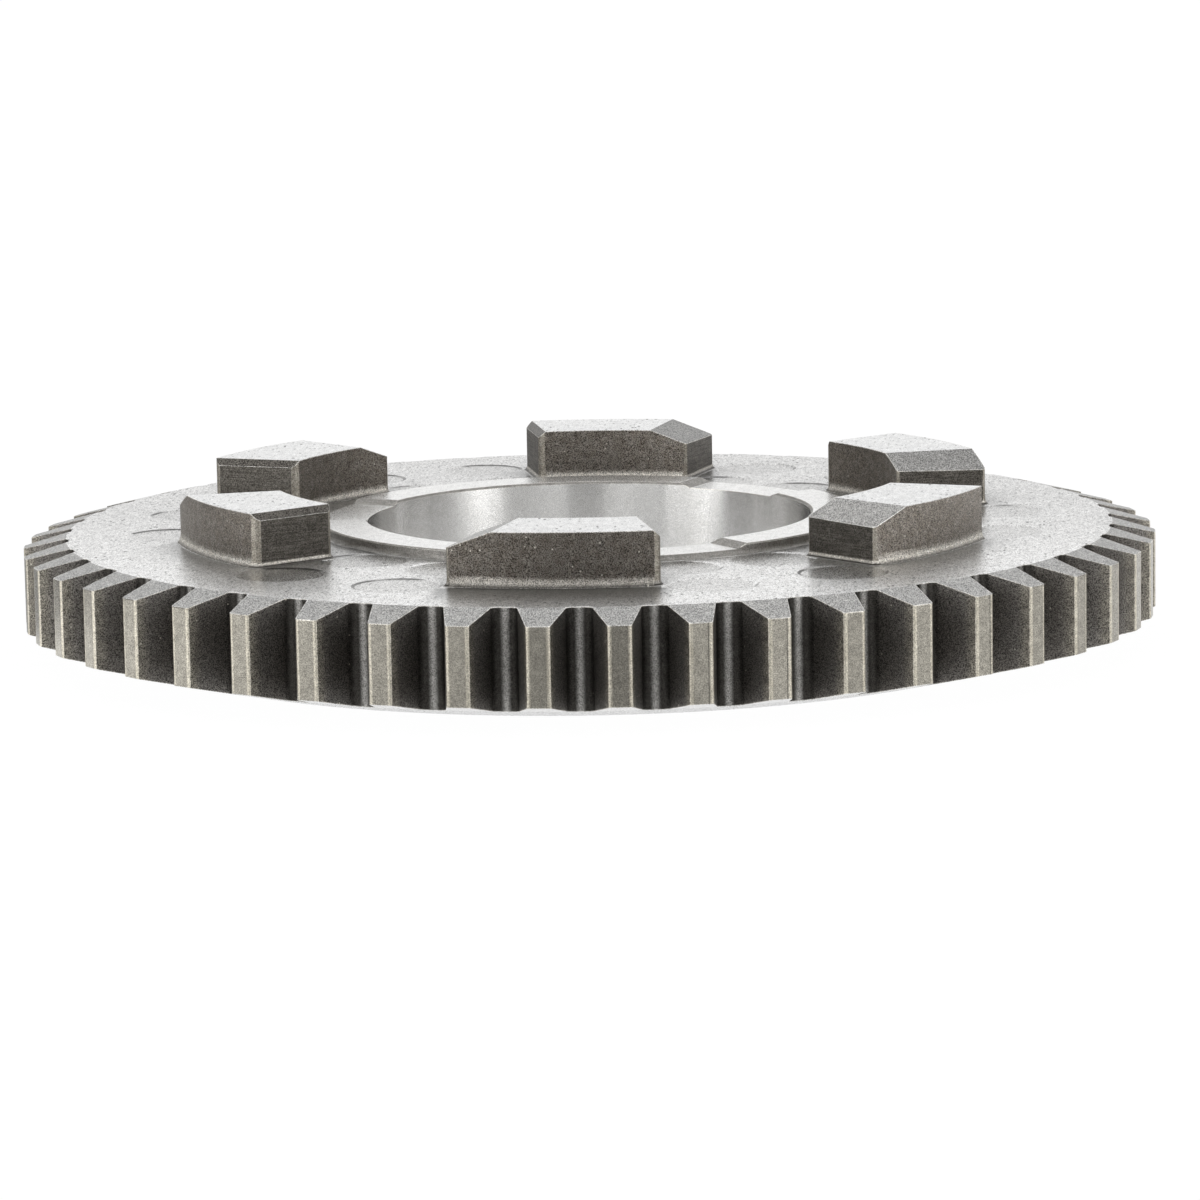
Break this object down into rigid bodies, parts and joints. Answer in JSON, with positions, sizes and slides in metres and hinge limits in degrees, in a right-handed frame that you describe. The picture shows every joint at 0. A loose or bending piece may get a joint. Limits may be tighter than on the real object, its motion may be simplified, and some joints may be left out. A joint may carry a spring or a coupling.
{
  "type": "chain sprocket",
  "caption": "Toothed wheel for an inverted-tooth chain, with low drive lugs standing on its front face round a notched rim and a plain machined bore",
  "frame": {"origin": "centre of the flat back face, on the axis of the bore", "axes": "+Z along the bore axis from the flat back face to the front face with the lugs; one drive lug and one tooth are centred on -Y; +X to the right of that lug seen from the front"},
  "size_m": [0.1432, 0.1432, 0.0206],
  "materials": {
    "steel": "sintered steel, satin grey with a fine pressed grain, machined bright on the front face, the lug tops and in the bore"
  },
  "bodies": {
    "root": {"sprocket": "steel"}
  },
  "joints": []
}
